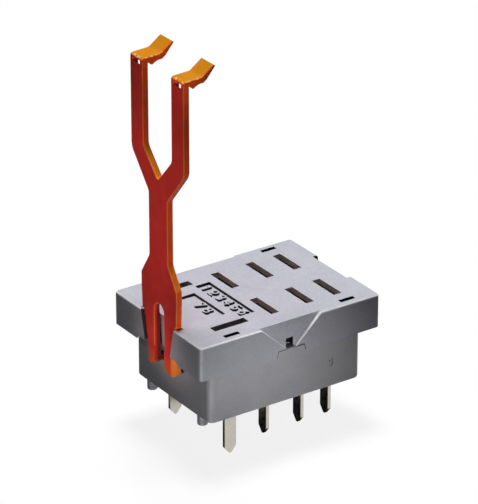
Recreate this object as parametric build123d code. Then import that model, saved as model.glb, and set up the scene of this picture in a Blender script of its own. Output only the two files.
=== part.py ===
from build123d import *
import math
import os

# Plug-in relay socket for a printed circuit board: two changeover contacts and a coil, eight
# blade receptacles in a two-piece moulded housing, and a forked retaining clip that grips the
# top of the relay.
# Millimetres. +Z up, -Y is the long front face, the clip is at the -X end.
# The origin is the centre of the footprint in the plane of the pin tips.

# ---- driving dimensions -------------------------------------------------------------------
COVER_L = 30.0            # X
COVER_W = 21.8            # Y
COVER_H = 5.05            # height of the cover's skirt
COVER_R = 0.6             # plan corner radius
COVER_EDGE_R = 0.35       # rounding of the top edges
PLATE_T = 0.85            # top plate

BASE_X0, BASE_X1 = -12.5, 12.9
BASE_W = 18.7
BASE_R = 1.0
BASE_FLOOR = 1.3
BASE_WALL = 0.9
FIT = 0.08                # gap between the base and the inside of the cover

Z_SEAT = 19.85            # cover top, where the relay sits
Z_COVER = Z_SEAT - COVER_H            # cover's lower rim
Z_BASE = Z_SEAT - 13.1                # underside of the base
Z_PEG = Z_SEAT - 14.42                # underside of the standoff pegs: the board's face
Z_TIP = 0.0                           # pin tips
Z_FLOOR = Z_BASE + BASE_FLOOR         # inside floor
Z_BASE_TOP = Z_SEAT - PLATE_T - 0.1   # top of the base walls, under the plate

PEG_R = 0.74
PEG_X = 11.75
PEG_Y = 6.35

SLOT_T = 1.3              # contact slot, across the blade
SLOT_W = 5.35             # contact slot, along the blade
CONTACT_X = (-0.45, 5.45, 10.15)
CONTACT_Y = 4.85
COIL_SLOT_W = 5.55
COIL_X = -7.65
COIL_Y = 6.9

PIN_W = 1.9
PIN_T = 0.5
PIN_POINT = 1.0           # length of the pointed end

LEAF_T = 0.35             # receptacle sheet
LEAF_HALF = 1.15          # half the receptacle's outer width
LEAF_GAP = 0.22           # half the gap at the pinch
LEAF_W = 4.7              # receptacle, along the blade

LATCH_HOLE_X = (-9.1, 10.2)
LATCH_HOLE_Y = 9.6
LATCH_HOLE_L = 2.45
LATCH_HOLE_W = 0.76

NOTCH_TOP = 5.0           # half width of the V notch at the top edge
NOTCH_LOW = 0.62
NOTCH_DEPTH = 0.55
NOTCH_Z = 4.12            # how far the V runs down, into the window for the tab

TAB_TOP = 2.12            # tab of the base that fills the window in the skirt
TAB_LOW = 2.38
TAB_H = 0.88

CLIP_X = -14.65           # outer face of the clip
CLIP_T = 1.0
CLIP_TOP = 37.35          # above the seat
CLIP_SWING = 4.0          # degrees outwards, to let the relay go

# half widths of the groove that takes the clip, at the seat and at the cover's lower rim
MOUTH_TOP, MOUTH_LOW = 4.15, 3.08
GROOVE_TOP, GROOVE_LOW = 4.72, 3.64
LIP_T = 0.82              # depth of the mouth, in front of the wider groove
RIM_CUT_Z = 4.5           # the rim is raised to here beside the mouth, over the clip's feet
RIM_CUT_Y = 4.62          # half width of the raised part, which slopes out to the rim at 45 degrees
EDGE = 0.18               # rounding along the clip's edges
# sight hole through each arm, above the seat: a low slit in front that slopes down to the back
HOLE_W, HOLE_FRONT, HOLE_BACK, HOLE_TOP = 1.95, 36.42, 35.62, 36.95

PANEL_DEPTH = 0.45
PANELS = ((-5.0, -2.55, 5.62), (-8.7, -6.25, 3.87))


# ---- helpers ------------------------------------------------------------------------------
def block(x0, x1, y0, y1, z0, z1):
    return Pos((x0 + x1) / 2, (y0 + y1) / 2, (z0 + z1) / 2) * Box(x1 - x0, y1 - y0, z1 - z0)


def rounded(length, width, radius, z0, z1):
    return extrude(Pos(0, 0, z0) * RectangleRounded(length, width, radius), z1 - z0)


def base_outline(grow, z0, z1):
    """The base's plan outline, grown all round, as a block."""
    length, width = BASE_X1 - BASE_X0 + 2 * grow, BASE_W + 2 * grow
    return Pos((BASE_X0 + BASE_X1) / 2, 0, 0) * rounded(length, width, BASE_R + grow, z0, z1)


def prism_x(points, x0, x1):
    """A (y, z) outline carried from x0 to x1."""
    wire = Polyline(*[(x0, y, z) for y, z in points], close=True)
    return extrude(make_face(wire), amount=x1 - x0, dir=(1, 0, 0))


def prism_y(points, y0, y1):
    """An (x, z) outline carried from y0 to y1."""
    wire = Polyline(*[(x, y0, z) for x, z in points], close=True)
    return extrude(make_face(wire), amount=y1 - y0, dir=(0, 1, 0))


def only(shape):
    """One solid out of a boolean's result."""
    solids = shape.solids()
    if len(solids) != 1:
        raise ValueError("expected one solid, got %d" % len(solids))
    return solids[0]


def rel(points):
    """(y, height above the seat) to (y, z)."""
    return [(a, Z_SEAT + b) for a, b in points]


def turned(shape):
    """The same feature at the opposite end."""
    return shape.rotate(Axis.Z, 180)


# ---- top cover ----------------------------------------------------------------------------
def digit(char):
    """Single-stroke figure on a 0..1 wide, 0..1.6 high cell: list of open point lists."""
    def arc(cx, cy, rx, ry, a0, a1, n=10):
        return [(cx + rx * math.cos(math.radians(a0 + (a1 - a0) * i / n)),
                 cy + ry * math.sin(math.radians(a0 + (a1 - a0) * i / n))) for i in range(n + 1)]
    if char == "1":
        return [[(0.2, 1.25), (0.55, 1.6), (0.55, 0.0)]]
    if char == "2":
        return [arc(0.5, 1.12, 0.48, 0.48, 165, -35) + [(0.02, 0.0), (1.0, 0.0)]]
    if char == "3":
        return [arc(0.45, 1.2, 0.42, 0.4, 150, -80) + arc(0.45, 0.42, 0.5, 0.42, 75, -150)]
    if char == "4":
        return [[(0.78, 0.0), (0.78, 1.6), (0.0, 0.45), (1.05, 0.45)]]
    if char == "5":
        return [[(0.92, 1.6), (0.2, 1.6), (0.12, 0.86)] + arc(0.48, 0.5, 0.5, 0.5, 120, -150)]
    if char == "6":
        return [[(0.8, 1.6), (0.1, 0.75)] + arc(0.5, 0.48, 0.48, 0.48, 160, 500, 20)]
    if char == "7":
        return [[(0.0, 1.6), (1.0, 1.6), (0.35, 0.0)]]
    return [arc(0.5, 1.2, 0.38, 0.4, 268, -92, 20), arc(0.5, 0.42, 0.5, 0.42, 90, 450, 20)]


def figure(char, x, y, height, stroke, z0, z1):
    """A raised figure that reads along -Y, its top towards +X. (x, y) is its lower left."""
    k = height / 1.6
    body = None
    for line in digit(char):
        for p, q in zip(line, line[1:]):
            a = (x + p[1] * k, y - p[0] * k)
            b = (x + q[1] * k, y - q[0] * k)
            length = math.dist(a, b)
            if length < 1e-6:
                continue
            angle = math.degrees(math.atan2(b[1] - a[1], b[0] - a[0]))
            bar = Pos((a[0] + b[0]) / 2, (a[1] + b[1]) / 2) * Rot(0, 0, angle) * SlotCenterToCenter(length, stroke)
            body = bar if body is None else body + bar
    return extrude(Pos(0, 0, z0) * body, z1 - z0)


def make_cover():
    body = rounded(COVER_L, COVER_W, COVER_R, Z_COVER, Z_SEAT)
    body = fillet(body.edges().group_by(Axis.Z)[-1], COVER_EDGE_R)
    body -= base_outline(FIT, Z_COVER - 1, Z_SEAT - PLATE_T)

    # blade slots
    for x in CONTACT_X:
        for y in (-CONTACT_Y, CONTACT_Y):
            body -= block(x - SLOT_T / 2, x + SLOT_T / 2, y - SLOT_W / 2, y + SLOT_W / 2, Z_SEAT - 3, Z_SEAT + 1)
    for y in (-COIL_Y, COIL_Y):
        body -= block(COIL_X - COIL_SLOT_W / 2, COIL_X + COIL_SLOT_W / 2, y - SLOT_T / 2, y + SLOT_T / 2, Z_SEAT - 3, Z_SEAT + 1)

    # the four small slots above the catches, and the pockets that hold them
    for x in LATCH_HOLE_X:
        for s in (-1, 1):
            y0, y1 = sorted((s * (LATCH_HOLE_Y - LATCH_HOLE_W / 2), s * (LATCH_HOLE_Y + LATCH_HOLE_W / 2)))
            body -= block(x - LATCH_HOLE_L / 2, x + LATCH_HOLE_L / 2, y0, y1, Z_SEAT - 3.6, Z_SEAT + 1)
            y0, y1 = sorted((s * (BASE_W / 2 - 0.2), s * (LATCH_HOLE_Y + LATCH_HOLE_W / 2)))
            body -= block(x - LATCH_HOLE_L / 2, x + LATCH_HOLE_L / 2, y0, y1, Z_SEAT - 3.6, Z_SEAT - PLATE_T)

    # V notch, its square hole, and the window for the base's tab, on both long faces
    notch = prism_y([(-NOTCH_TOP - 0.253, Z_SEAT + 0.2), (NOTCH_TOP + 0.253, Z_SEAT + 0.2),
                     (NOTCH_LOW, Z_SEAT - NOTCH_Z), (-NOTCH_LOW, Z_SEAT - NOTCH_Z)],
                    -COVER_W / 2 - 1, -COVER_W / 2 + NOTCH_DEPTH)
    square = block(-0.6, 0.6, -COVER_W / 2, -BASE_W / 2, Z_SEAT - NOTCH_Z, Z_SEAT - 2.72)
    gap = 0.07
    window = prism_y([(-TAB_TOP - gap, Z_COVER + TAB_H + 0.13), (TAB_TOP + gap, Z_COVER + TAB_H + 0.13),
                      (TAB_LOW + gap + 0.1, Z_COVER - 0.3), (-TAB_LOW - gap - 0.1, Z_COVER - 0.3)],
                     -COVER_W / 2 - 1, -BASE_W / 2)
    body -= notch
    body -= turned(notch)
    body = chamfer([e for e in body.edges()
                    if abs(abs(e.center().Y) - COVER_W / 2) < 1e-3 and 2.3 < abs(e.center().X) < 3.3
                    and 1.0 < Z_SEAT - e.center().Z < 3.0], 0.09)
    for cut in (square, window):
        body -= cut
        body -= turned(cut)

    # a tapered mouth in each end face; behind the one that takes the clip, a wider groove whose
    # back wall leans away so that the legs can swing in, and a raised rim over the clip's feet
    low, high = Z_COVER - 0.5, Z_SEAT + 0.5
    def half(top, bottom, z):
        return bottom + (top - bottom) * (z - Z_COVER) / COVER_H
    mouth = prism_x([(-half(MOUTH_TOP, MOUTH_LOW, high), high), (half(MOUTH_TOP, MOUTH_LOW, high), high),
                     (half(MOUTH_TOP, MOUTH_LOW, low), low), (-half(MOUTH_TOP, MOUTH_LOW, low), low)],
                    -COVER_L / 2 - 1, -COVER_L / 2 + LIP_T + 0.05)
    groove = prism_x([(-half(GROOVE_TOP, GROOVE_LOW, high), high), (half(GROOVE_TOP, GROOVE_LOW, high), high),
                      (half(GROOVE_TOP, GROOVE_LOW, low), low), (-half(GROOVE_TOP, GROOVE_LOW, low), low)],
                     -COVER_L / 2 + LIP_T, -COVER_L / 2 + 2.2)
    lean = prism_y([(-COVER_L / 2 + LIP_T - 0.5, Z_SEAT + 1), (-13.58, Z_SEAT + 1), (-13.58, Z_SEAT),
                    (-13.18, Z_COVER), (-13.18, Z_COVER - 1), (-COVER_L / 2 + LIP_T - 0.5, Z_COVER - 1)], -6, 6)
    body -= mouth + (groove & lean)
    body -= turned(mouth)
    wide = RIM_CUT_Y + COVER_H - RIM_CUT_Z
    body -= prism_x(rel([(-wide, -COVER_H - 1), (-wide, -COVER_H), (-RIM_CUT_Y, -RIM_CUT_Z), (RIM_CUT_Y, -RIM_CUT_Z),
                         (wide, -COVER_H), (wide, -COVER_H - 1)]), -COVER_L / 2 - 1, -COVER_L / 2 + 0.9)
    # a shallow relief under the clip's shoulders, so that nothing stands over the seat
    body -= block(-COVER_L / 2 + COVER_EDGE_R - 0.01, -COVER_L / 2 + LIP_T + 0.05, -4.52, 4.52, Z_SEAT - 0.2, Z_SEAT + 1)

    # the two sunk marking panels, with plain raised terminal numbers
    for x0, x1, y1 in PANELS:
        body -= block(x0, x1, -y1, y1, Z_SEAT - PANEL_DEPTH, Z_SEAT + 1)
    z0, z1 = Z_SEAT - PANEL_DEPTH - 0.05, Z_SEAT - 0.1
    for i, char in enumerate("123456"):
        body += figure(char, -4.5, 4.95 - i * 1.82, 1.45, 0.26, z0, z1)
    for i, char in enumerate("78"):
        body += figure(char, -8.22, 1.0 - i * 1.95, 1.5, 0.26, z0, z1)
    return only(body)


# ---- base housing -------------------------------------------------------------------------
def make_base():
    body = base_outline(0, Z_BASE, Z_BASE_TOP)
    body = fillet(body.edges().group_by(Axis.Z)[0], 0.35)

    # cells for the receptacles
    for x in CONTACT_X:
        for s in (-1, 1):
            y0, y1 = sorted((s * (CONTACT_Y - 2.8), s * (CONTACT_Y + 2.8)))
            body -= block(x - 1.35, x + 1.35, y0, y1, Z_FLOOR, Z_BASE_TOP + 1)
            body -= block(x - PIN_T / 2 - 0.05, x + PIN_T / 2 + 0.05,
                          s * CONTACT_Y - PIN_W / 2 - 0.05, s * CONTACT_Y + PIN_W / 2 + 0.05, Z_BASE - 1, Z_FLOOR + 1)
    for s in (-1, 1):
        y0, y1 = sorted((s * (COIL_Y - 1.35), s * (COIL_Y + 1.35)))
        body -= block(COIL_X - 2.9, COIL_X + 2.9, y0, y1, Z_FLOOR, Z_BASE_TOP + 1)
        body -= block(COIL_X - PIN_W / 2 - 0.05, COIL_X + PIN_W / 2 + 0.05,
                      s * COIL_Y - PIN_T / 2 - 0.05, s * COIL_Y + PIN_T / 2 + 0.05, Z_BASE - 1, Z_FLOOR + 1)

    # hollows between the cells, which keep the walls even
    left, right = BASE_X0 + BASE_WALL, BASE_X1 - BASE_WALL
    body -= block(-1.9, right - 0.9, -1.15, 1.15, Z_FLOOR, Z_BASE_TOP + 1)
    body -= block(left, -6.65, -4.65, 4.65, Z_FLOOR, Z_BASE_TOP + 1)
    body -= block(-5.75, -2.7, -4.65, 4.65, Z_FLOOR, Z_BASE_TOP + 1)
    for s in (-1, 1):
        y0, y1 = sorted((s * 2.05, s * 7.65))
        body -= block(1.8, 3.2, y0, y1, Z_FLOOR, Z_BASE_TOP + 1)

    # window behind the teeth of the clip's feet
    body -= block(BASE_X0 - 1, left + 0.5, -2.8, 2.8, Z_SEAT - 7.85, Z_SEAT - 6.6)

    # tabs that fill the windows in the cover's skirt, dark pockets behind the square holes,
    # and the catches
    tab = prism_y([(-TAB_TOP, Z_COVER + TAB_H), (TAB_TOP, Z_COVER + TAB_H), (TAB_LOW, Z_COVER), (-TAB_LOW, Z_COVER)],
                  -COVER_W / 2, -BASE_W / 2 + 0.3)
    pocket = block(-0.75, 0.75, -BASE_W / 2 - 1, -BASE_W / 2 + 0.8, Z_SEAT - 4.0, Z_SEAT - 2.6)
    body += tab
    body += turned(tab)
    body -= pocket
    body -= turned(pocket)
    for x in LATCH_HOLE_X:
        for s in (-1, 1):
            wedge = extrude(make_face(Polyline(
                (x - 0.95, s * (BASE_W / 2 - 0.3), Z_SEAT - 3.45), (x - 0.95, s * (BASE_W / 2 + 0.42), Z_SEAT - 3.45),
                (x - 0.95, s * (BASE_W / 2 + 0.42), Z_SEAT - 3.1), (x - 0.95, s * (BASE_W / 2), Z_SEAT - 2.2),
                (x - 0.95, s * (BASE_W / 2 - 0.3), Z_SEAT - 2.2), close=True)), amount=1.9, dir=(1, 0, 0))
            body += wedge

    # standoff pegs that hold the housing off the board
    for x in (-PEG_X, PEG_X):
        for y in (-PEG_Y, PEG_Y):
            peg = extrude(Pos(x, y, Z_PEG) * Circle(PEG_R), Z_BASE - Z_PEG + 0.4)
            peg = fillet(peg.edges().group_by(Axis.Z)[0], 0.18)
            body += peg

    # gate mark on the front face
    body -= Pos(7.8, -BASE_W / 2, Z_SEAT - 9.15) * Rot(90, 0, 0) * extrude(SlotOverall(1.35, 0.66, 90), 0.15, both=True)
    body += Pos(7.8, -BASE_W / 2 + 0.15, Z_SEAT - 9.15) * Rot(90, 0, 0) * Cylinder(0.18, 0.24)
    return only(body)


# ---- contacts -----------------------------------------------------------------------------
def make_contact():
    """Folded strip in its own frame: a springy fork that takes the relay's blade, bent up from
    a web, and a flat pin bent down out of the web. The blade's flat lies in the YZ plane and
    the centre line is x = y = 0."""
    h, t, g = LEAF_HALF, LEAF_T, LEAF_GAP
    z0 = Z_FLOOR
    pts = [(h - t / 2, z0 + t / 2), (h - t / 2, Z_SEAT - 7.4), (g + t / 2, Z_SEAT - 3.6), (h - t / 2 - 0.12, Z_SEAT - 1.75)]
    path = FilletPolyline(*[(-x, z) for x, z in reversed(pts)], *pts, radius=[0.9, 2.0, 0.4, 0.4, 2.0, 0.9])
    # the strip's centre line given its thickness, then carried along the blade's width
    face = Plane.XZ.offset(-LEAF_W / 2) * trace(path.edges(), line_width=t)
    fork = extrude(face, amount=LEAF_W, dir=(0, -1, 0))
    # a slit splits each leaf into two fingers
    fork -= block(-2, 2, -0.3, 0.3, Z_SEAT - 9.2, Z_SEAT)
    pin = prism_x([(-PIN_W / 2, z0 + t), (PIN_W / 2, z0 + t), (PIN_W / 2, Z_TIP + PIN_POINT),
                   (0.16, Z_TIP), (-0.16, Z_TIP), (-PIN_W / 2, Z_TIP + PIN_POINT)], -PIN_T / 2, PIN_T / 2)
    return only(fork + pin)


# ---- retaining clip -----------------------------------------------------------------------
def make_clip():
    x0, x1 = CLIP_X, CLIP_X + CLIP_T
    top = CLIP_TOP
    half = [(2.69, -5.7), (3.85, 0.1), (4.25, 0.1), (4.42, 4.2), (4.42, 5.6), (2.32, 8.9), (2.32, 18.5),
            (6.5, 23.6), (6.5, top - 0.5), (3.48, top - 0.5), (3.48, 24.8), (0.0, 20.9)]
    pts = [(-y, z) for y, z in half[:-1]] + [half[-1]] + list(reversed(half[:-1]))
    plate = prism_x(rel(pts), x0, x1)

    def upright(y, z):
        """The edge through the plate at (y, z above the seat)."""
        found = [e for e in plate.edges().filter_by(Axis.X)
                 if abs(abs(e.center().Y) - y) < 0.02 and abs(e.center().Z - Z_SEAT - z) < 0.02]
        return found
    plate = fillet(upright(4.42, 5.6), 1.1)
    plate = fillet(upright(2.32, 8.9), 1.6)
    plate = fillet(upright(2.32, 18.5), 1.0)
    plate = fillet(upright(6.5, 23.6), 2.4)
    plate = fillet(upright(3.48, 24.8), 1.6)
    plate = fillet(upright(0.0, 20.9), 0.45)

    # slot between the legs, round at the top
    slot = block(x0 - 1, x0 + 3, -1.2, 1.2, Z_SEAT - 9, Z_SEAT + 1.1)
    slot += Pos(x0 + 1, 0, Z_SEAT + 1.1) * Rot(0, 90, 0) * Cylinder(1.2, 4)
    plate -= slot

    # hooks with barbs and upswept finger tabs
    hook = [(x0, top - 1.0), (x0, top), (x0 + 2.95, top + 0.13), (x0 + 4.85, top + 1.5),
            (x0 + 5.1, top + 1.3), (x0 + 4.3, top + 0.35), (x0 + 3.75, top - 0.35), (x0 + 3.2, top - 0.72),
            (x0 + 2.75, top - 0.72), (x0 + 2.45, top - 0.78), (x0 + 2.0, top - 0.95), (x0 + 1.7, top - 1.18),
            (x0 + 1.5, top - 1.18), (x0 + 1.15, top - 0.85), (x1, top - 0.72), (x1, top - 1.0)]
    for s in (-1, 1):
        y0, y1 = sorted((s * 3.48, s * 6.5))
        body = prism_y([(a, Z_SEAT + b) for a, b in hook], y0, y1)
        for (a, b), r in (((x0, top), 0.4), ((x0 + 2.95, top + 0.13), 0.7)):
            body = fillet([e for e in body.edges().filter_by(Axis.Y)
                           if abs(e.center().X - a) < 1e-3 and abs(e.center().Z - Z_SEAT - b) < 1e-3], r)
        plate += body

    # every outer edge is eased: the front and back outlines, then the tops of the hooks
    def edges_where(test):
        found = []
        for e in plate.edges():
            b = e.bounding_box()
            if test(b.min, b.max):
                found.append(e)
        return found
    sides = (-6.5, -3.48, 3.48, 6.5)
    plate = fillet(edges_where(lambda a, b: b.X < x0 + 1e-3 and b.Z < Z_SEAT + top - 0.39 and a.Z < Z_SEAT + top - 1
                               or any(abs(a.Y - s) < 1e-3 and abs(b.Y - s) < 1e-3 for s in sides)
                               and a.Z > Z_SEAT + top - 0.5 and b.X < x0 + 4.9 and a.X < x0 + 3.3
                               and b.Z > Z_SEAT + top - 0.3), EDGE)
    plate = fillet(edges_where(lambda a, b: a.X > x1 - 1e-3 and b.X < x1 + 1e-3
                               and (b.Z < Z_SEAT + top - 1.0 or b.Z - a.Z > 5)), EDGE)

    # thin tongues behind the legs' outer edges, which run in the cover's groove
    tx = CLIP_X + 0.5
    for s in (-1, 1):
        plate += prism_x(rel([(s * 2.5, -0.12), (s * 4.62, -0.12), (s * 3.55, -5.0), (s * 2.5, -5.0)]), tx, x1)

    # feet: a knob under the cover's rim, well rounded at its outer corner, with a tooth behind it
    side = [(x0, -4.65), (x0 + 0.48, -4.8), (x0 + 0.66, -5.25), (x0 + 0.9, -6.1), (x0 + 0.98, -6.5), (x0 + 1.34, -6.68), (x0 + 1.38, -7.2),
            (x0 + 1.12, -7.5), (x0 + 0.75, -7.7), (x0 + 0.45, -7.9), (x0 + 0.18, -7.84), (x0, -7.6)]
    outline = [(1.2, -4.3), (1.2, -6.8), (1.38, -7.25), (1.85, -7.7), (2.4, -7.92), (2.95, -7.88), (3.22, -7.74),
               (3.35, -7.5), (3.35, -5.1), (2.85, -4.3)]
    for s in (-1, 1):
        foot = prism_y([(a, Z_SEAT + b) for a, b in side], *sorted((s * 1.2, s * 3.35)))
        column = block(x0, x0 + 1.5, *sorted((s * 1.2, s * 3.35)), Z_SEAT - 8.5, Z_SEAT - 4.1)
        column = fillet([e for e in column.edges().filter_by(Axis.Z)
                         if abs(e.center().X - x0) < 1e-3 and abs(e.center().Y) > 3], 0.85)
        plate += foot & column & prism_x(rel([(s * a, b) for a, b in outline]), x0 - 0.1, x0 + 2)

    # small sight hole through the top of each arm
    for s in (-1, 1):
        y0, y1 = sorted((s * (5.0 - HOLE_W / 2), s * (5.0 + HOLE_W / 2)))
        slope = (HOLE_FRONT - HOLE_BACK) / CLIP_T
        plate -= prism_y([(x0 - 1, Z_SEAT + HOLE_TOP), (x0 - 1, Z_SEAT + HOLE_FRONT + slope), (x1 + 0.05, Z_SEAT + HOLE_BACK - 0.05 * slope),
                          (x1 + 0.05, Z_SEAT + top - 0.7), (x1 - 0.3, Z_SEAT + HOLE_TOP)], y0, y1)
    return only(plate)


# ---- build --------------------------------------------------------------------------------
def build():
    nodes = {"top_cover": make_cover(), "base_housing": make_base(), "retaining_clip": make_clip()}
    contact = make_contact()
    n = 0
    for y in (-CONTACT_Y, CONTACT_Y):
        for x in CONTACT_X:
            n += 1
            nodes["contact_%d" % n] = Pos(x, y, 0) * contact
    for y in (-COIL_Y, COIL_Y):
        n += 1
        nodes["coil_contact_%d" % n] = Pos(COIL_X, y, 0) * Rot(0, 0, 90) * contact
    return nodes


os.makedirs("parts", exist_ok=True)
NODES = build()
for name, shape in NODES.items():
    export_step(shape, "parts/%s.step" % name)
    box = shape.bounding_box()
    print(name, round(shape.volume, 2), [round(v, 2) for v in (box.min.X, box.min.Y, box.min.Z, box.max.X, box.max.Y, box.max.Z)])
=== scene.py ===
import math

import bpy
from mathutils import Matrix, Vector

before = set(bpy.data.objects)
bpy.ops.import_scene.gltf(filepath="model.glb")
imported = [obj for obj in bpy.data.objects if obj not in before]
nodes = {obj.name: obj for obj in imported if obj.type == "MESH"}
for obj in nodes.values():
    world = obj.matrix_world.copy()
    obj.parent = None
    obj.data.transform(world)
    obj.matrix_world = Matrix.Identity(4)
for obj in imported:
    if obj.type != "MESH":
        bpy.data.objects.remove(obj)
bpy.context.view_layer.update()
scene = bpy.context.scene


SEAT = 0.01985      # height of the face that the relay sits on


# ---- node helpers ---------------------------------------------------------------------------
class Graph:
    """A small builder for one material's node tree."""

    def __init__(self, name):
        self.mat = bpy.data.materials.new(name)
        self.mat.use_nodes = True
        self.tree = self.mat.node_tree
        self.tree.nodes.clear()
        self.out = self.add("ShaderNodeOutputMaterial")
        self.shader = self.add("ShaderNodeBsdfPrincipled")
        self.link(self.shader.outputs["BSDF"], self.out.inputs["Surface"])
        self.coords = self.add("ShaderNodeTexCoord").outputs["Object"]

    def add(self, kind, **props):
        node = self.tree.nodes.new(kind)
        for key, value in props.items():
            setattr(node, key, value)
        return node

    def link(self, a, b):
        self.tree.links.new(a, b)

    def set(self, **values):
        for key, value in values.items():
            self.shader.inputs[key.replace("_", " ")].default_value = value

    def noise(self, scale, detail=2.0, roughness=0.5, stretch=None):
        coords = self.coords
        if stretch is not None:
            mapping = self.add("ShaderNodeMapping")
            mapping.inputs["Scale"].default_value = stretch
            self.link(coords, mapping.inputs["Vector"])
            coords = mapping.outputs["Vector"]
        node = self.add("ShaderNodeTexNoise")
        node.inputs["Scale"].default_value = scale
        node.inputs["Detail"].default_value = detail
        node.inputs["Roughness"].default_value = roughness
        self.link(coords, node.inputs["Vector"])
        return node.outputs["Fac"]

    def ramp(self, fac, stops):
        node = self.add("ShaderNodeValToRGB")
        elements = node.color_ramp.elements
        while len(elements) < len(stops):
            elements.new(0.5)
        for element, (position, colour) in zip(elements, stops):
            element.position = position
            element.color = (*colour, 1.0)
        self.link(fac, node.inputs["Fac"])
        return node.outputs["Color"]

    def span(self, fac, low, high, from_low=0.3, from_high=0.7):
        node = self.add("ShaderNodeMapRange")
        node.inputs["From Min"].default_value = from_low
        node.inputs["From Max"].default_value = from_high
        node.inputs["To Min"].default_value = low
        node.inputs["To Max"].default_value = high
        self.link(fac, node.inputs["Value"])
        return node.outputs["Result"]

    def mix(self, fac, a, b, blend="MIX"):
        node = self.add("ShaderNodeMix", data_type="RGBA", blend_type=blend)
        for value, socket in ((fac, node.inputs[0]), (a, node.inputs[6]), (b, node.inputs[7])):
            if hasattr(value, "links"):
                self.link(value, socket)
            elif isinstance(value, tuple):
                socket.default_value = (*value, 1.0)
            else:
                socket.default_value = value
        return node.outputs[2]

    def math(self, operation, *values, clamp=False):
        node = self.add("ShaderNodeMath", operation=operation, use_clamp=clamp)
        for value, socket in zip(values, node.inputs):
            if hasattr(value, "links"):
                self.link(value, socket)
            else:
                socket.default_value = value
        return node.outputs["Value"]

    def place(self):
        """x, y and z in the object's own space, in metres, split once."""
        if not hasattr(self, "_place"):
            node = self.add("ShaderNodeSeparateXYZ")
            self.link(self.coords, node.inputs["Vector"])
            self._place = dict(zip("xyz", node.outputs))
            for axis in "xy":
                self._place["|%s|" % axis] = self.math("ABSOLUTE", self._place[axis])
        return self._place

    def facing(self):
        """The surface's direction in the object's own space: absolute x, y and z, and signed z."""
        if not hasattr(self, "_facing"):
            node = self.add("ShaderNodeSeparateXYZ")
            self.link(self.add("ShaderNodeTexCoord").outputs["Normal"], node.inputs["Vector"])
            self._facing = dict(zip("xyz", node.outputs))
            for axis in "xyz":
                self._facing["|%s|" % axis] = self.math("ABSOLUTE", self._facing[axis])
        return self._facing

    def inside(self, **limits):
        """1 inside a box given in millimetres from the seat: x=(low, high), ax=|x|, y, ay=|y|, z."""
        total = None
        for key, (low, high) in limits.items():
            source = self.place()["|%s|" % key[1] if len(key) == 2 else key]
            shift = SEAT if key == "z" else 0.0
            for value in (self.math("GREATER_THAN", source, low / 1000 + shift),
                          self.math("LESS_THAN", source, high / 1000 + shift)):
                total = value if total is None else self.math("MULTIPLY", total, value)
        return total

    def any_of(self, *masks):
        total = masks[0]
        for mask in masks[1:]:
            total = self.math("MAXIMUM", total, mask)
        return total

    def eased(self):
        """Rises from 0 on flat faces to 1 on the rounded edges between them."""
        f = self.facing()
        largest = self.math("MAXIMUM", self.math("MAXIMUM", f["|x|"], f["|y|"]), f["|z|"])
        return self.span(largest, 1.0, 0.0, 0.75, 0.985)

    def bump(self, layers):
        """layers: (height, strength, distance in metres), chained."""
        normal = None
        for height, strength, distance in layers:
            node = self.add("ShaderNodeBump")
            node.inputs["Strength"].default_value = strength
            node.inputs["Distance"].default_value = distance
            self.link(height, node.inputs["Height"])
            if normal is not None:
                self.link(normal, node.inputs["Normal"])
            normal = node.outputs["Normal"]
        self.link(normal, self.shader.inputs["Normal"])


def moulded(name, light, dark, roughness, hollow_shade, highlight_colour, hollow_shade_colour=(0.012, 0.011, 0.011), grain=0.25):
    """Matt engineering plastic: a fine eroded grain, faint flow mottling and uneven sheen, with a painted
    highlight on the rounded edges, painted light on the contact slots' walls and painted shade in the
    hollows; the mask function given as the fifth argument marks where the shade is painted."""
    g = Graph(name)
    mottle = g.noise(260, 4, 0.6)
    fine = g.noise(4600, 3, 0.7)
    base = g.ramp(mottle, [(0.30, dark), (0.70, light)])
    speck = g.span(fine, 0.87, 1.10)
    shade = g.add("ShaderNodeCombineColor")
    for i in range(3):
        g.link(speck, shade.inputs[i])
    colour = g.mix(1.0, base, shade.outputs["Color"], "MULTIPLY")
    # painted highlight: the rounded edges are painted lighter, where they would catch the light
    edge_highlight = g.math("MULTIPLY", g.eased(), g.span(g.noise(700, 3, 0.6), 0.45, 1.0))
    colour = g.mix(edge_highlight, colour, highlight_colour)
    # painted light: the contact slots' walls are painted a light grey, in place of light falling into them
    colour = g.mix(slot_wall_light(g), colour, (0.80, 0.77, 0.72))
    # painted shade: the hollows are painted dark, where shade falls in them
    colour = g.mix(hollow_shade(g), colour, hollow_shade_colour)
    g.link(colour, g.shader.inputs["Base Color"])
    g.link(g.span(g.noise(900, 3, 0.6), roughness - 0.05, roughness + 0.07), g.shader.inputs["Roughness"])
    g.bump([(g.noise(3400, 3, 0.65), grain, 0.00003), (g.noise(140, 2, 0.5), 0.25, 0.00006)])
    g.set(Specular_IOR_Level=0.2)
    return g.mat


def slot_wall_light(g):
    """The walls of the six contact slots, painted lighter to stand in for the light that reaches into the slots."""
    slots = [g.inside(x=(x - 0.70, x + 0.70), ay=(2.1, 7.6), z=(-0.84, -0.02)) for x in (-0.45, 5.45, 10.15)]
    return g.math("MULTIPLY", g.any_of(*slots), g.math("LESS_THAN", g.facing()["|z|"], 0.5))


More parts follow.
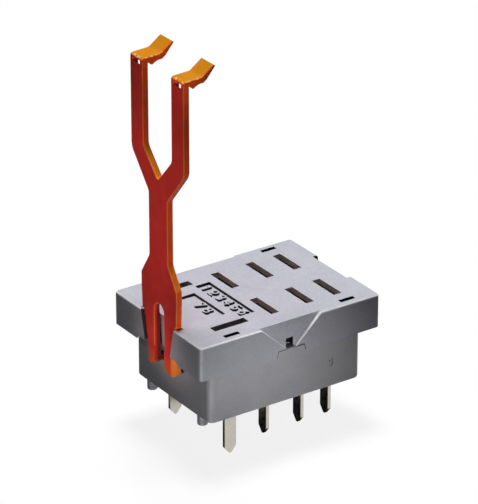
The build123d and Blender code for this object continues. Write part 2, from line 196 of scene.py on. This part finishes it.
def cover_hollow_shade(g):
    """Painted shade: dark is painted on the side walls of the sunk panels and figures, the catch slots,
    the square holes, the gaps round the tabs, and the sides of the mouth at the plain end; also on the
    deep inside, part of the coil slot and the groove's far wall."""
    upright = g.math("LESS_THAN", g.math("MINIMUM", g.facing()["x"], g.facing()["y"]), -0.3)
    upright = g.math("MULTIPLY", upright, g.math("LESS_THAN", g.facing()["|z|"], 0.6))
    sides = g.math("GREATER_THAN", g.facing()["|y|"], 0.6)
    panels = g.math("MULTIPLY", upright, g.any_of(
        g.inside(x=(-5.03, -2.52), ay=(-1, 5.65), z=(-0.47, -0.01)), g.inside(x=(-8.73, -6.22), ay=(-1, 3.9), z=(-0.47, -0.01))))
    catches = g.inside(ax=(7.7, 11.6), ay=(9.15, 10.05), z=(-5, -0.04))
    square = g.inside(ax=(-1, 0.65), ay=(9.3, 10.33), z=(-4.11, -2.7))
    deep = g.inside(x=(-12.62, 13.02), ay=(-1, 9.5), z=(-6, -0.84))
    slits = g.math("MULTIPLY", g.inside(ax=(-1, 2.75), ay=(9.3, 10.88), z=(-6, -4.13)), g.math("SUBTRACT", 1.0, sides))
    mouth = g.math("MULTIPLY", sides, g.inside(x=(14.1, 14.98), ay=(2.9, 4.3), z=(-6, 0.1)))
    mouth = g.math("MULTIPLY", mouth, g.span(g.place()["z"], 0.0, 1.0, SEAT - 0.0024, SEAT - 0.0012))
    coil = g.math("MULTIPLY", g.inside(x=(-10.5, -4.8), ay=(6.2, 7.6), z=(-1, -0.05)), 0.40)
    groove = g.math("MULTIPLY", g.math("MULTIPLY", sides, g.inside(x=(-14.97, -14.1), y=(2.9, 4.6), z=(-5.1, -0.02))), 0.93)
    return g.any_of(panels, catches, square, deep, slits, mouth, coil, groove)


def base_hollow_shade(g):
    """Painted shade: everything inside the housing, the pockets behind the square holes, and the tab's sides are
    painted dark, as are the sides by the feet and the gate.
    """
    inner = g.inside(x=(-12.2, 12.6), ay=(-1, 8.4), z=(-11.9, -0.95))
    feet = g.math("MULTIPLY", g.inside(x=(-13, -12.2), ay=(-1, 2.85), z=(-7.9, -6.55)), g.math("LESS_THAN", g.facing()["|x|"], 0.5))
    pocket = g.inside(ax=(-1, 0.8), ay=(8.2, 9.34), z=(-4.05, -2.55))
    tab = g.math("MULTIPLY", g.inside(ax=(2.0, 2.5), ay=(9.3, 10.88), z=(-5.2, -4.1)), g.math("GREATER_THAN", g.facing()["|x|"], 0.6))
    gate = g.math("MULTIPLY", g.inside(x=(7.3, 8.3), y=(-9.34, -9.0), z=(-10, -8)), g.math("LESS_THAN", g.facing()["|y|"], 0.6))
    return g.any_of(inner, feet, pocket, tab, gate)


cover_plastic = moulded("cover_plastic", (0.485, 0.485, 0.540), (0.440, 0.440, 0.494), 0.50, cover_hollow_shade, (0.85, 0.85, 0.87))
base_plastic = moulded("base_plastic", (0.475, 0.473, 0.500), (0.430, 0.428, 0.455), 0.50, base_hollow_shade, (0.62, 0.62, 0.65), (0.100, 0.095, 0.090))


def clip_plastic():
    """Tinted polyamide, deep red on its broad faces, with light and shade painted in by facing:
    a brighter orange-red on the side faces and orange on upward faces, rounded edges and the feet as
    painted light, and a darker pinkish red on the faces inside the slot between the legs as painted shade."""
    g = Graph("clip_plastic")
    mottle = g.noise(420, 3, 0.6)
    body = g.ramp(mottle, [(0.32, (0.850, 0.042, 0.034)), (0.68, (0.950, 0.056, 0.046))])
    lit_tone = g.ramp(mottle, [(0.32, (0.530, 0.190, 0.006)), (0.68, (0.580, 0.220, 0.012))])
    lit_flank = g.ramp(mottle, [(0.32, (0.880, 0.095, 0.016)), (0.68, (0.960, 0.125, 0.022))])
    lit_foot = g.ramp(mottle, [(0.32, (0.900, 0.210, 0.030)), (0.68, (0.970, 0.260, 0.040))])
    face = g.facing()
    low = g.span(g.place()["z"], 0.55, 0.0, SEAT - 0.0075, SEAT - 0.0048)
    feet = g.math("MULTIPLY", g.inside(z=(-9, -5.3)), g.math("MAXIMUM", low, g.span(face["|y|"], 0.0, 1.0, 0.25, 0.70)))
    shaded_slot = g.inside(ay=(-1, 1.3), z=(-9, 2.2))
    # painted light: side faces are painted a brighter orange-red and upward faces orange, as they look where light
    # falls on them
    colour = g.mix(g.span(face["|y|"], 0.0, 1.0, 0.35, 0.85), body, lit_flank)
    colour = g.mix(g.span(face["z"], 0.0, 1.0, 0.15, 0.75), colour, lit_tone)
    # painted light: the feet are painted orange, where they catch the light
    colour = g.mix(feet, colour, lit_foot)
    # painted shade: the faces inside the slot between the legs are painted a darker red, where the legs shade each
    # other
    colour = g.mix(g.math("MULTIPLY", shaded_slot, g.math("GREATER_THAN", face["|y|"], 0.9)), colour, (0.620, 0.045, 0.040))
    # painted light: the inside of the sight hole is painted bright red-orange, in place of light in it
    lit_hole = g.inside(x=(-14.64, -13.4), ay=(3.9, 6.1), z=(35.5, 36.97))
    colour = g.mix(lit_hole, colour, (1.0, 0.200, 0.130))
    # painted highlight: the rounded edges below the hooks are painted orange, where they catch the light
    rounding = g.math("MULTIPLY", g.span(face["|x|"], 0.0, 1.0, 0.12, 0.45), g.span(face["|x|"], 1.0, 0.0, 0.80, 0.985))
    lit_edges = g.math("MULTIPLY", g.math("MULTIPLY", rounding, g.inside(z=(-9, 36.9))), g.span(g.noise(900, 3, 0.6), 0.55, 1.0))
    colour = g.mix(lit_edges, colour, (0.980, 0.260, 0.050))
    # bright specks where the hooks' rounded edges catch the light
    round_side = g.math("MULTIPLY", g.math("GREATER_THAN", face["|y|"], 0.25), g.math("GREATER_THAN", face["z"], 0.25))
    round_front = g.math("MULTIPLY", g.math("GREATER_THAN", face["z"], 0.30), g.inside(x=(-14.7, -14.22)))
    glint = g.math("MULTIPLY", g.any_of(round_side, round_front), g.inside(z=(36.9, 37.7)))
    glint = g.math("MULTIPLY", glint, g.span(g.noise(2600, 2, 0.6), 0.0, 0.8, 0.52, 0.62))
    colour = g.mix(glint, colour, (1.0, 0.60, 0.26))
    g.link(colour, g.shader.inputs["Base Color"])
    g.link(g.span(g.noise(1100, 3, 0.6), 0.30, 0.42), g.shader.inputs["Roughness"])
    g.bump([(g.noise(3000, 2, 0.6), 0.18, 0.00002), (g.noise(160, 2, 0.5), 0.3, 0.00008)])
    g.set(Specular_IOR_Level=0.1)
    return g.mat


def contact_metal():
    """Tinned brass strip: rolled grain along the strip and a slightly cloudy tin layer."""
    g = Graph("contact_metal")
    cloud = g.noise(700, 4, 0.65)
    g.link(g.ramp(cloud, [(0.30, (0.80, 0.745, 0.640)), (0.70, (0.90, 0.86, 0.770))]), g.shader.inputs["Base Color"])
    g.set(Metallic=1.0)
    g.link(g.span(g.noise(1500, 3, 0.6), 0.24, 0.38), g.shader.inputs["Roughness"])
    g.bump([(g.noise(4200, 2, 0.6, stretch=(1.0, 1.0, 0.06)), 0.2, 0.00002), (g.noise(900, 2, 0.5), 0.08, 0.00002)])
    return g.mat


def wear(name, material):
    o = nodes[name]
    o.data.materials.clear()
    o.data.materials.append(material)


wear("top_cover", cover_plastic)
wear("base_housing", base_plastic)
wear("retaining_clip", clip_plastic())
metal = contact_metal()
for name in nodes:
    if "contact" in name:
        wear(name, metal)

# ---- floor and light ------------------------------------------------------------------------
floor_mesh = bpy.data.meshes.new("floor")
R = 3.0
floor_mesh.from_pydata([(-R, -R, 0), (R, -R, 0), (R, R, 0), (-R, R, 0)], [], [(0, 1, 2, 3)])
floor = bpy.data.objects.new("floor", floor_mesh)
scene.collection.objects.link(floor)
FLOOR_BOUNCE = 0.07      # how much of the light the floor gives back to the sides of the part
FLOOR_GLOSS = 0.60       # and how bright it stands in the pins' reflections
pale = Graph("pale_floor")
path = pale.add("ShaderNodeLightPath")
paper = pale.ramp(pale.noise(3, 2), [(0.3, (0.87, 0.87, 0.87)), (0.7, (0.89, 0.89, 0.89))])
# painted reflection: seen only by glossy rays, a patch in front of the socket and one by the far coil pin glow, and the
# floor under the socket is darker, as light and shade for the pins to reflect
reflected_light_patch = pale.any_of(pale.inside(x=(-20, 30), y=(-24, -6)), pale.inside(x=(-9, -5), y=(2.6, 7.5)))
reflected_shade_patch = pale.inside(x=(-15, 15), y=(-6, 8))
gloss = pale.mix(reflected_shade_patch, (0.10,) * 3, (0.01,) * 3)
tone = pale.mix(path.outputs["Is Glossy Ray"], paper, gloss)
pale.link(pale.mix(path.outputs["Is Diffuse Ray"], tone, (FLOOR_BOUNCE,) * 3), pale.shader.inputs["Base Color"])
pale.set(Roughness=0.8)
lit_tone = pale.add("ShaderNodeEmission")
lit_tone.inputs["Color"].default_value = (1.0, 1.0, 1.0, 1.0)
lit_tone.inputs["Strength"].default_value = 1.0
share = pale.add("ShaderNodeMath", operation="MULTIPLY")
share.inputs[1].default_value = 0.86
pale.link(path.outputs["Is Camera Ray"], share.inputs[0])
mirror = pale.math("MULTIPLY", pale.math("MULTIPLY", reflected_light_patch, path.outputs["Is Glossy Ray"]), FLOOR_GLOSS)
shown = pale.math("ADD", share.outputs["Value"], mirror, clamp=True)
both = pale.add("ShaderNodeMixShader")
pale.link(shown, both.inputs[0])
pale.link(pale.shader.outputs["BSDF"], both.inputs[1])
pale.link(lit_tone.outputs["Emission"], both.inputs[2])
pale.link(both.outputs["Shader"], pale.out.inputs["Surface"])
floor.data.materials.append(pale.mat)

world = bpy.data.worlds.new("studio") if scene.world is None else scene.world
scene.world = world
world.use_nodes = True
world.node_tree.nodes["Background"].inputs["Color"].default_value = (1.0, 1.0, 1.0, 1.0)
world.node_tree.nodes["Background"].inputs["Strength"].default_value = 0.035


def aim(o, place, target):
    scene.collection.objects.link(o)
    o.location = place
    o.rotation_euler = (Vector(target) - Vector(place)).to_track_quat("-Z", "Y").to_euler()


def panel(name, place, target, size, power, colour=(1.0, 1.0, 1.0)):
    """A rectangular soft light; size is (width, height)."""
    data = bpy.data.lights.new(name, "AREA")
    data.shape = "RECTANGLE"
    data.size, data.size_y = size
    data.energy = power
    data.color = colour
    aim(bpy.data.objects.new(name, data), place, target)


def spot(name, place, target, angle, power, soft, colour=(1.0, 1.0, 1.0)):
    """A soft-edged spot; angle is the full cone in degrees, soft its radius in metres."""
    data = bpy.data.lights.new(name, "SPOT")
    data.spot_size = math.radians(angle)
    data.spot_blend = 1.0
    data.shadow_soft_size = soft
    data.energy = power
    data.color = colour
    aim(bpy.data.objects.new(name, data), place, target)
    return data


panel("top_light", (0.05, 0.10, 0.80), (0, 0, 0.02), (0.20, 0.20), 7.4)
FRONT = (-0.10, -0.45, 0.010)
spot("front_light_left", FRONT, (-0.0150, -0.0100, 0.0125), 3.6, 2.3, 0.008)
spot("front_light_notch", FRONT, (-0.0030, -0.0100, 0.0185), 3.0, 2.2, 0.008)
spot("front_light_base", FRONT, (0.0012, -0.0100, 0.0090), 4.0, 2.6, 0.008)
spot("front_light_clip", FRONT, (-0.0140, -0.0030, 0.0340), 5.0, 1.6, 0.008)
spot("hook_light", (-0.25, -0.38, 0.06), (-0.0125, -0.0005, 0.0580), 1.9, 2.6, 0.003, (1.0, 0.80, 0.74))
LEFT = (-0.45, -0.12, 0.09)
WARM = (1.0, 0.86, 0.78)
spot("clip_light_top", LEFT, (-0.0147, 0.0, 0.0430), 4.0, 2.0, 0.006, WARM)
spot("clip_light_stem", LEFT, (-0.0147, 0.0, 0.0270), 2.7, 1.6, 0.004, WARM)
spot("clip_light_legs", LEFT, (-0.0147, -0.0004, 0.0155), 1.5, 3.2, 0.003, WARM)
spot("end_light", (-0.38, -0.24, 0.15), (-0.0147, -0.0105, 0.0110), 2.5, 0.75, 0.004)

# low fills for the two faces that the camera doesn't see
spot("back_light", (0.12, 0.45, 0.012), (0.0, 0.0100, 0.0140), 6.5, 4.2, 0.02)
spot("right_light", (0.47, 0.10, 0.012), (0.0150, 0.0, 0.0140), 5.0, 3.0, 0.02)

# ---- camera ---------------------------------------------------------------------------------
AZ, EL = math.radians(-34.19), math.radians(25.70)
back = Vector((math.sin(AZ) * math.cos(EL), -math.cos(AZ) * math.cos(EL), math.sin(EL)))
right = Vector((math.cos(AZ), math.sin(AZ), 0.0))
up = back.cross(right)
camera_data = bpy.data.cameras.new("camera")
camera_data.sensor_fit = "VERTICAL"
camera_data.sensor_height = 36.0
camera_data.lens = 3589.5 / 504 * 36.0
camera_data.clip_start = 0.01
camera_data.clip_end = 20.0
camera = bpy.data.objects.new("camera", camera_data)
scene.collection.objects.link(camera)
place = Vector((0, 0, SEAT)) + right * -0.00112 + up * 0.00558 + back * 0.500
camera.matrix_world = Matrix.Translation(place) @ Matrix((right, up, back)).transposed().to_4x4()
scene.camera = camera
scene.view_settings.view_transform = "Standard"
scene.view_settings.look = "None"
